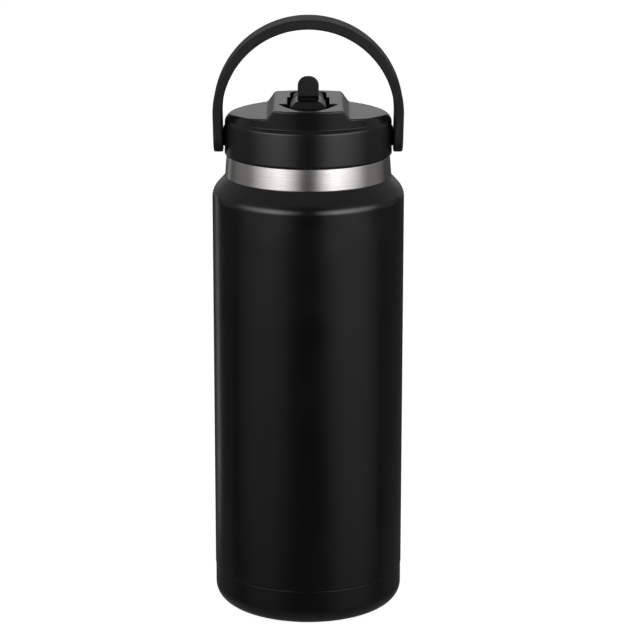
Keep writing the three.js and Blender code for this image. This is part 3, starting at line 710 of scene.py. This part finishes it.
def lid_cap_field(x, y, z):
    """The skirt, and over its ledge a narrower wall that meets it at the sides, hollow from below."""
    side = np.abs(x)
    r = np.hypot(x, y)
    to_side = np.minimum(side / LID_R, 1) ** 3
    skirt = round_and(r - LID_R + LID_SKIRT_TAPER * (z - LID_Z), z - LID_LEDGE_Z, LID_LEDGE_ROUND)
    front_r = LID_TOP_R + LID_TOP_LEAN * (z - WING_Z)
    bulge = LID_SIDE_BULGE * np.maximum(z - LID_SIDE_Z, 0) ** 2 * smooth_step(side, *LID_SIDE_X)
    wall = r - front_r - (LID_R - LID_SIDE_INSET - front_r) * to_side + bulge
    upper = round_and(wall, lid_top(x, y, z), 0.6)
    fillet = 0.2 + 1.3 * to_side
    outside = round_and(round_or(skirt, upper, fillet), LID_Z - z, 0.5)
    rim = np.maximum(r - LID_RIM_INSIDE_R, z - LID_INSIDE_STEP_Z)
    hollow = np.maximum(r - LID_INSIDE_R, z - deck_z(y))
    cap = round_and(outside, -np.minimum(rim, hollow), 0.3)
    cap = round_and(cap, -recess(x, y, z, 0), 0.4)
    slot = np.where(z < PIVOT_Z, np.abs(y - PIVOT_Y), np.hypot(y - PIVOT_Y, z - PIVOT_Z)) - AXLE_R - GAP
    cap = np.maximum(cap, -np.maximum(slot, side - SADDLE_X - GAP))
    spot = np.maximum(tube(y, z, 0, BAIL_Z, SPOT_R), SPOT_X - side)
    hole = np.maximum(tube(y, z, 0, BAIL_Z, PIN_R + GAP), PIN_HOLE_X - side)
    return np.maximum(cap, -np.minimum(spot, hole))


def spout_tub_field(x, y, z):
    """The recess's lining, with a socket below for the straw's adapter and a saddle under each axle."""
    side = np.abs(x)
    wall = tube(x, y, 0, PIVOT_Y, SOCKET_R + SOCKET_WALL)
    socket = np.maximum(wall, slab(z, SOCKET_BOTTOM, SOCKET_WALL_TOP))
    tub = round_or(recess(x, y, z, TUB_WALL), socket, 0.6)
    tub = np.maximum(tub, z - deck_z(y) + GAP)
    saddle = np.maximum(slab(side, CHANNEL_HALF + GAP, SADDLE_X), np.abs(y - PIVOT_Y) - AXLE_R)
    saddle = np.maximum(saddle, slab(z, SOCKET_TOP, PIVOT_Z))
    tub = np.minimum(tub, saddle)
    axle = np.maximum(tube(y, z, PIVOT_Y, PIVOT_Z, AXLE_R + GAP), side - AXLE_GROOVE_X)
    bore = np.maximum(tube(x, y, 0, PIVOT_Y, SOCKET_R), z - SOCKET_TOP)
    vent = np.maximum(tube(x, y, 0, VENT_Y, VENT_HOLE_R), z - VENT_HOLE_TOP)
    cavity = np.minimum(np.minimum(recess(x, y, z, 0), axle), np.minimum(bore, vent))
    return round_and(tub, -cavity, 0.2)


def lid_hardware():
    """What the lid holds inside: its gasket, the straw with its adapter and seal, and the vent valve."""
    outer = LID_RIM_INSIDE_R - GAP
    inner = STEM_R + GAP
    lip = RIM_Z + GAP
    top = STEM_FLANGE_Z - 2 * GAP
    turned("lid_gasket_fine", [
        (inner, lip + 0.6, 0.3),
        (36.4, lip, 0.3),
        (37.1, lip + 0.35, 0.3),
        (outer, lip, 0.4),
        (outer, top, 0.3),
        (inner, top, 0.3),
    ], "lid_lift", ["lid_gasket"], "silicone", closed=True)
    tube_r = 4.6
    flange = 8.2
    flange_low, flange_high = 217.9, 219.4
    nipple = STRAW_INNER - GAP
    nipple_end, nipple_root = 200, 212
    shift = (0, PIVOT_Y, 0)
    turned("straw_adapter_fine", [
        (BORE_R, nipple_end, 0.1),
        (nipple - 0.4, nipple_end, 0.1),
        (nipple, nipple_end + 1, 0.3),
        (nipple, nipple_root, 0),
        (tube_r, nipple_root, 0.3),
        (tube_r, flange_low, 0.2),
        (flange, flange_low, 0.3),
        (flange, flange_high, 0.3),
        (tube_r, flange_high, 0.4),
        (tube_r, SOCKET_BOTTOM, 0),
        (SOCKET_R - GAP, SOCKET_BOTTOM, 0.1),
        (SOCKET_R - GAP, ADAPTER_TOP, 0.2),
        (BORE_R, ADAPTER_TOP, 0.2),
    ], "lid", ["straw_adapter"], "clear_plastic", closed=True, shift=shift, segments=96)
    turned("adapter_seal_fine", arc(6.5, 217.05, 0.55, -180, 150, 11),
           "lid", ["adapter_seal"], "silicone", closed=True, shift=shift, segments=96)
    turned("straw_fine", [
        (STRAW_INNER, STRAW_BOTTOM, 0.2),
        (STRAW_OUTER, STRAW_BOTTOM, 0.25),
        (STRAW_OUTER, STRAW_TOP, 0.25),
        (STRAW_INNER, STRAW_TOP, 0.2),
    ], "lid", ["straw"], "clear_plastic", closed=True, shift=shift, segments=96)
    turned("vent_valve_fine", [
        (0, 212.4, 0),
        (3, 212.7, 1),
        (5, 213.3, 0.1),
        (5, 213.7, 0.1),
        (1.3, 213.7, 0.1),
        (1.3, 216.5, 0.1),
        (2.2, 216.5, 0.3),
        (1.2, 219, 0.6),
        (0, 219, 0),
    ], "lid", ["vent_valve"], "silicone", shift=(0, VENT_Y, 0), segments=64)


def lid():
    """The two mouldings that show, and what they hold."""
    reach = LID_R + 0.2
    top = 260
    sculpted("lid_cap_fine", lid_cap_field, (-reach, -reach, LID_Z), (reach, reach, top), 0.5,
             "lid", ["lid_cap"], "lid_plastic")
    low, high = span("spout_tub")
    sculpted("spout_tub_fine", spout_tub_field, low, high, 0.5, "lid", ["spout_tub"], "lid_plastic")
    lid_hardware()


# ---------------------------------------------------------------- spout


def spout_body_field(x, y, z):
    """The drum, arm and nozzle, with a flat top between sloping flanks, a bore and the tab's slot."""
    side = np.abs(x)
    drum = tube(y, z, PIVOT_Y, PIVOT_Z, DRUM_R)
    arm = np.maximum(np.maximum(PIVOT_Y - y, y - ARM_END_Y), ARM_BOTTOM_Z - z)
    top = (z - spout_z(y)) / math.hypot(1, BRIDGE_SLOPE)
    outline = round_and(np.minimum(drum, arm), top, 0.45)
    block = chamfer_and(side - SPOUT_HALF, outline, SPOUT_EDGE, 0.35)
    flank = (side - SPOUT_TOP_HALF - SPOUT_FLARE * (spout_z(y) - z)) / math.hypot(1, SPOUT_FLARE)
    block = round_and(block, flank, 0.5)
    nozzle = round_and(tube(x, z, 0, PIVOT_Z, NOZZLE_R), y - NOZZLE_END_Y, 0.5)
    block = round_or(block, np.maximum(nozzle, -y), 0.3)
    bore = tube(x, z, 0, PIVOT_Z, BORE_R)
    axle = np.maximum(tube(y, z, PIVOT_Y, PIVOT_Z, AXLE_R + GAP), AXLE_HOLE_X - side)
    slot = np.maximum(side - TAB_HALF - 0.1, np.maximum(TAB_Y[0] - 4 * GAP - y, y - TAB_Y[1] - GAP))
    slot = np.maximum(slot, TAB_FOOT_Z - GAP - z)
    return round_and(block, -np.minimum(np.minimum(bore, axle), slot), 0.3)


def thumb_tab_field(x, y, z):
    """A tongue with a round top. Its foot is set back in front, where it enters the spout."""
    outline = round_and(np.abs(x) - TAB_HALF, z - TAB_TOP, TAB_CORNER)
    outline = round_and(outline, TAB_FOOT_Z - z, 0.3)
    middle = (TAB_Y[0] + TAB_Y[1]) / 2
    tab = round_and(outline, slab(y, *TAB_Y), 0.7)
    under = (z - spout_z(middle) - TAB_UNDERCUT + y - TAB_Y[0]) * math.sqrt(0.5)
    step = np.maximum(y - TAB_Y[0] - TAB_UNDERCUT + 0.3, under)
    return round_and(tab, -step, 0.25)


def mouthpiece_field(x, y, z):
    """A flat oval sleeve, drawn in to a lip at its end, with a shallow groove round its root."""
    start = ARM_END_Y + GAP
    bottom = ARM_BOTTOM_Z + 0.1
    top = spout_z(y)
    middle = (top + bottom) / 2
    drawn_in = smooth_step(y, REAR_CHANNEL_END_Y - 9, MOUTHPIECE_END_Y + 3)
    groove = 0.3 * np.exp(-(((y - start - 2.2) / 0.5) ** 2))
    half = MOUTHPIECE_HALF * (1 - 0.42 * drawn_in) - groove
    tall = (top - bottom) / 2 * (1 - 0.24 * drawn_in) - groove
    oval = ((x / half) ** 4 + ((z - middle) / tall) ** 4) ** 0.25
    sleeve = (oval - 1) * np.minimum(half, tall)
    sleeve = round_and(sleeve, y - MOUTHPIECE_END_Y, 1)
    sleeve = round_and(sleeve, start - y, 0.5)
    socket = np.maximum(tube(x, z, 0, PIVOT_Z, NOZZLE_R + GAP), y - NOZZLE_END_Y - GAP)
    orifice = tube(x, z, 0, PIVOT_Z, BORE_R)
    return round_and(sleeve, -np.minimum(socket, orifice), 0.4)


def spout():
    """The spout's three mouldings and its two stub axles."""
    for name, field, step, slot in (
        ("spout_body", spout_body_field, 0.22, "lid_plastic"),
        ("thumb_tab", thumb_tab_field, 0.18, "soft_black"),
        ("mouthpiece", mouthpiece_field, 0.3, "soft_black"),
    ):
        low, high = span(name)
        sculpted(f"{name}_fine", field, low, high, step, "spout", [name], slot)
    for side in ("right", "left"):
        node = f"spout_axle_{side}"
        (x0, *_), (x1, *_) = span(node)
        place = {"axis": "X", "shift": (0, PIVOT_Y, PIVOT_Z), "segments": 64}
        turned(f"{node}_fine", [(0, x0, 0), (AXLE_R, x0, 0.3), (AXLE_R, x1, 0.3), (0, x1, 0)],
               "spout", [node], "steel", "machined_steel", **place)


# ---------------------------------------------------------------- bail handle


def bail_field(x, y, z):
    """A strap of flat section bent over the lid, its ends round about the pivots."""
    foot = BAIL_Z - BAIL_WIDTH / 2
    lean = BAIL_LEAN * np.clip((BAIL_ARC_Z - z) / (BAIL_ARC_Z - foot), 0, 1)
    middle = BAIL_OUTER - BAIL_THICK / 2
    across = np.where(z > BAIL_ARC_Z, np.hypot(x, z - BAIL_ARC_Z) - middle, np.abs(x) - middle + lean)
    flat = np.abs(across) - BAIL_THICK / 2
    grip = smooth_step(z, *BAIL_GRIP_Z) * (BAIL_GRIP_WIDTH - BAIL_WIDTH) / 2
    edge = np.where(z < BAIL_Z, np.hypot(y, z - BAIL_Z), np.abs(y)) - BAIL_WIDTH / 2 - grip
    strap = round_and(flat, edge, 0.9)
    bore = tube(y, z, 0, BAIL_Z, BAIL_BORE_R)
    sink = np.maximum(tube(y, z, 0, BAIL_Z, BAIL_SINK_R), BAIL_SINK_X - np.abs(x))
    return round_and(strap, -np.minimum(np.maximum(bore, PIN_HOLE_X - np.abs(x)), sink), 0.25)


def bail():
    """The strap, and on each side the bushing, pin, clip and cover plug of its pivot."""
    low, high = span("bail_strap")
    sculpted("bail_strap_fine", bail_field, low, high, 0.5, "bail", ["bail_strap"], "bail_polymer")
    bore = PIN_R + GAP
    sleeve = BAIL_BORE_R - GAP
    face = BAIL_OUTER - BAIL_THICK - BAIL_LEAN - BUSHING_CLEARANCE
    turned_pair("pivot_bushing", [
        (bore, SPOT_X + GAP, 0.1),
        (BUSHING_R, SPOT_X + GAP, 0.15),
        (BUSHING_R, SPOT_X + 0.75, 0.15),
        (BUSHING_FACE_R, face, 0.1),
        (sleeve, face, 0.1),
        (sleeve, BAIL_SINK_X - GAP, 0.2),
        (bore, BAIL_SINK_X - GAP, 0.1),
    ], "lid", "lid_plastic", closed=True)
    head = BAIL_SINK_X + GAP
    turned_pair("pivot_pin", [
        (0, PIN_INNER_X, 0),
        (PIN_R, PIN_INNER_X, 0.4),
        (PIN_R, head, 0.1),
        (PIN_HEAD_R, head, 0.2),
        (PIN_HEAD_R, head + PIN_HEAD, 0.3),
        (0, head + PIN_HEAD, 0),
    ], "lid", "steel", "machined_steel")
    turned_pair("pivot_clip", [
        (bore, CLIP_X[0], 0.1),
        (CLIP_R, CLIP_X[0], 0.2),
        (CLIP_R, CLIP_X[1], 0.2),
        (bore, CLIP_X[1], 0.1),
    ], "lid", "steel", "machined_steel", closed=True)
    inner = head + PIN_HEAD + GAP
    dish = PIVOT_CAP_X - 0.15
    turned_pair("pivot_cap", [
        (0, inner, 0),
        (PIVOT_CAP_R, inner, 0.1),
        (PIVOT_CAP_R, PIVOT_CAP_X, 0.35),
        (3.6, PIVOT_CAP_X, 0.2),
        (3.4, dish, 0.2),
        (0, dish, 0),
    ], "bail", "bail_polymer")


# ---------------------------------------------------------------- CAD nodes that stay


def smooth_by_angle():
    """A modifier's node group that shades smooth across edges flatter than SHARP."""
    group = bpy.data.node_groups.new("smooth_by_angle", "GeometryNodeTree")
    group.interface.new_socket("Geometry", in_out="INPUT", socket_type="NodeSocketGeometry")
    group.interface.new_socket("Geometry", in_out="OUTPUT", socket_type="NodeSocketGeometry")
    nodes, links = group.nodes, group.links
    start = nodes.new("NodeGroupInput")
    merge = nodes.new("GeometryNodeMergeByDistance")
    merge.inputs["Distance"].default_value = 1e-6
    faces = nodes.new("GeometryNodeSetShadeSmooth")
    edges = nodes.new("GeometryNodeSetShadeSmooth")
    edges.domain = "EDGE"
    angle = nodes.new("GeometryNodeInputMeshEdgeAngle")
    flat = nodes.new("FunctionNodeCompare")
    flat.operation = "LESS_THAN"
    flat.inputs[1].default_value = SHARP
    end = nodes.new("NodeGroupOutput")
    links.new(start.outputs[0], merge.inputs["Geometry"])
    links.new(merge.outputs["Geometry"], faces.inputs["Geometry"])
    links.new(faces.outputs["Geometry"], edges.inputs["Geometry"])
    links.new(angle.outputs["Unsigned Angle"], flat.inputs[0])
    links.new(flat.outputs["Result"], edges.inputs["Shade Smooth"])
    links.new(edges.outputs["Geometry"], end.inputs[0])
    return group


def keep_nodes():
    """The hidden inner pieces stay as the CAD model has them, with their real finish."""
    group = smooth_by_angle()
    kept = {
        "inner_flask": "steel",
        "lid_stem": "lid_plastic",
        "stem_insulation": "foam",
        "port_seal": "silicone",
    }
    for name, finish in kept.items():
        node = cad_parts[name]
        for material_slot in node.material_slots:
            material_slot.link = "OBJECT"
            material_slot.material = FINISHES[finish]
        node.modifiers.new("smooth", "NODES").node_group = group


# ---------------------------------------------------------------- studio

STUDIO_CENTRE = Vector((0, 0, 0.2))


def softbox(name, azimuth, elevation, distance, size, radiance, fade):
    """A glowing panel that faces the studio's centre and fades towards its edges.

    Azimuth is from the camera's side, positive to the right. The fades are shares of the panel's size, for
    its left, right, lower and upper edges.
    """
    width, height = size
    corners = [(x * width / 2, y * height / 2, 0) for x, y in ((-1, -1), (1, -1), (1, 1), (-1, 1))]
    mesh = bpy.data.meshes.new(name)
    mesh.from_pydata(corners, [], [(3, 2, 1, 0)])
    material = bpy.data.materials.new(name)
    material.use_nodes = True
    nodes, links = material.node_tree.nodes, material.node_tree.links
    nodes.clear()
    across = nodes.new("ShaderNodeSeparateXYZ")
    links.new(nodes.new("ShaderNodeTexCoord").outputs["Generated"], across.inputs[0])
    left, right, low, high = fade
    glow = None
    for axis, start, end in (("X", 0, left), ("X", 1, 1 - right), ("Y", 0, low), ("Y", 1, 1 - high)):
        ramp = nodes.new("ShaderNodeMapRange")
        ramp.interpolation_type = "LINEAR" if axis == "X" else "SMOOTHSTEP"
        ramp.inputs["From Min"].default_value = min(start, end)
        ramp.inputs["From Max"].default_value = max(start, end)
        ramp.inputs["To Min"].default_value = 0 if start < end else 1
        ramp.inputs["To Max"].default_value = 1 if start < end else 0
        links.new(across.outputs[axis], ramp.inputs["Value"])
        product = nodes.new("ShaderNodeMath")
        product.operation = "MULTIPLY"
        product.inputs[0].default_value = radiance
        if glow:
            links.new(glow, product.inputs[0])
        links.new(ramp.outputs["Result"], product.inputs[1])
        glow = product.outputs[0]
    emission = nodes.new("ShaderNodeEmission")
    links.new(glow, emission.inputs["Strength"])
    links.new(emission.outputs[0], nodes.new("ShaderNodeOutputMaterial").inputs["Surface"])
    mesh.materials.append(material)
    item = bpy.data.objects.new(name, mesh)
    bpy.context.scene.collection.objects.link(item)
    a, e = math.radians(azimuth), math.radians(elevation)
    out = Vector((math.sin(a) * math.cos(e), -math.cos(a) * math.cos(e), math.sin(e)))
    item.location = STUDIO_CENTRE + out * distance
    item.rotation_euler = (STUDIO_CENTRE - item.location).to_track_quat("-Z", "Y").to_euler()
    item.visible_camera = False


def studio_world():
    """A white sweep behind, a dim room round it, and plain white where the camera looks past the floor."""
    world = bpy.data.worlds.new("studio")
    bpy.context.scene.world = world
    world.use_nodes = True
    nodes, links = world.node_tree.nodes, world.node_tree.links
    nodes.clear()

    def ramp(source, start, end, low, high):
        made = nodes.new("ShaderNodeMapRange")
        made.interpolation_type = "SMOOTHSTEP"
        for socket, value in (("From Min", start), ("From Max", end), ("To Min", low), ("To Max", high)):
            made.inputs[socket].default_value = value
        links.new(source, made.inputs["Value"])
        return made.outputs["Result"]

    def combine(operation, a, b):
        made = nodes.new("ShaderNodeMath")
        made.operation = operation
        links.new(a, made.inputs[0])
        links.new(b, made.inputs[1])
        return made.outputs[0]

    direction = nodes.new("ShaderNodeSeparateXYZ")
    links.new(nodes.new("ShaderNodeTexCoord").outputs["Generated"], direction.inputs[0])
    depth, height = direction.outputs["Y"], direction.outputs["Z"]
    back = ramp(depth, 0.87, 0.955, 0, 0.9)
    above_table = ramp(height, 0.05, 0.2, 0, 1)
    below_ceiling = ramp(height, 0.4, 0.9, 1, 0.2)
    sweep = combine("MULTIPLY", combine("MULTIPLY", back, above_table), below_ceiling)
    aside = ramp(depth, -0.95, -0.55, 0.1, 1)
    level = ramp(height, -0.2, 0.02, 0.07, 0.3)
    table = ramp(height, -0.6, -0.25, 0.12, 0)
    total = combine("ADD", combine("ADD", sweep, combine("MULTIPLY", aside, level)), table)
    studio = nodes.new("ShaderNodeBackground")
    links.new(total, studio.inputs["Strength"])
    white = nodes.new("ShaderNodeBackground")
    white.inputs["Color"].default_value = (1, 1, 1, 1)
    white.inputs["Strength"].default_value = 1
    mix = nodes.new("ShaderNodeMixShader")
    links.new(nodes.new("ShaderNodeLightPath").outputs["Is Camera Ray"], mix.inputs[0])
    links.new(studio.outputs[0], mix.inputs[1])
    links.new(white.outputs[0], mix.inputs[2])
    links.new(mix.outputs[0], nodes.new("ShaderNodeOutputWorld").inputs["Surface"])


def floor():
    """A pale floor, bright of itself like a lit light table, that takes a faint contact shadow."""
    radius, sides = 6.0, 96
    angles = np.linspace(0, 2 * math.pi, sides + 1)[:-1]
    rim = [(radius * math.cos(a), radius * math.sin(a), 0) for a in angles]
    mesh = bpy.data.meshes.new("floor")
    mesh.from_pydata(rim, [], [list(range(len(rim)))])
    made = Finish("floor_paper", (0.35, 0.35, 0.35), 0.9, Emission_Strength=0.93)
    made.shader.inputs["Emission Color"].default_value = (1, 1, 1, 1)
    made.tint(made.noise(90, detail=3), (0.345, 0.345, 0.345))
    mesh.materials.append(made.material)
    item = bpy.data.objects.new("floor", mesh)
    bpy.context.scene.collection.objects.link(item)
    item.visible_glossy = False
    item.visible_diffuse = False


def camera():
    """A long lens looking 15 degrees down, with the object a little left of the middle."""
    pitch = 0.263
    data = bpy.data.cameras.new("camera")
    data.lens = 145.8
    data.sensor_width = 36
    data.shift_x = 0.0184
    data.clip_start, data.clip_end = 0.1, 50
    item = bpy.data.objects.new("camera", data)
    item.location = (0, -1.2569, 0.4845)
    item.rotation_euler = (math.pi / 2 - pitch, 0, 0)
    bpy.context.scene.collection.objects.link(item)
    bpy.context.scene.camera = item


def studio():
    """On each side a long soft panel in front and weaker ones low and aside, and a strip at the back left."""
    bpy.context.scene.view_settings.view_transform = "Standard"
    studio_world()
    floor()
    camera()
    for side in (-1, 1):
        inner, outer = 0.33 - 0.02 * side, 0.6
        front = (inner, outer, 0.3, 0.4) if side > 0 else (outer, inner, 0.3, 0.4)
        low = (0.35, 0.35, 0.3, 0.3)
        aside = (0.4, 0.4, 0.3, 0.3)
        softbox(f"front_box_{side}", 51.5 * side, 7, 1.15, (2.2, 0.6), 3.65 + 0.2 * side, front)
        softbox(f"low_box_{side}", 57 * side, -18, 1.3, (2.3, 0.75), 0.23 + 0.04 * side, low)
        softbox(f"side_box_{side}", 104 * side, -4, 1.3, (1.7, 0.3), 0.28, aside)
    softbox("rear_left_strip", -140.5, -12, 1.2, (0.22, 0.7), 0.55, (0.2, 0.2, 0.15, 0.2))


shell()
base()
lid()
spout()
bail()
keep_nodes()
studio()
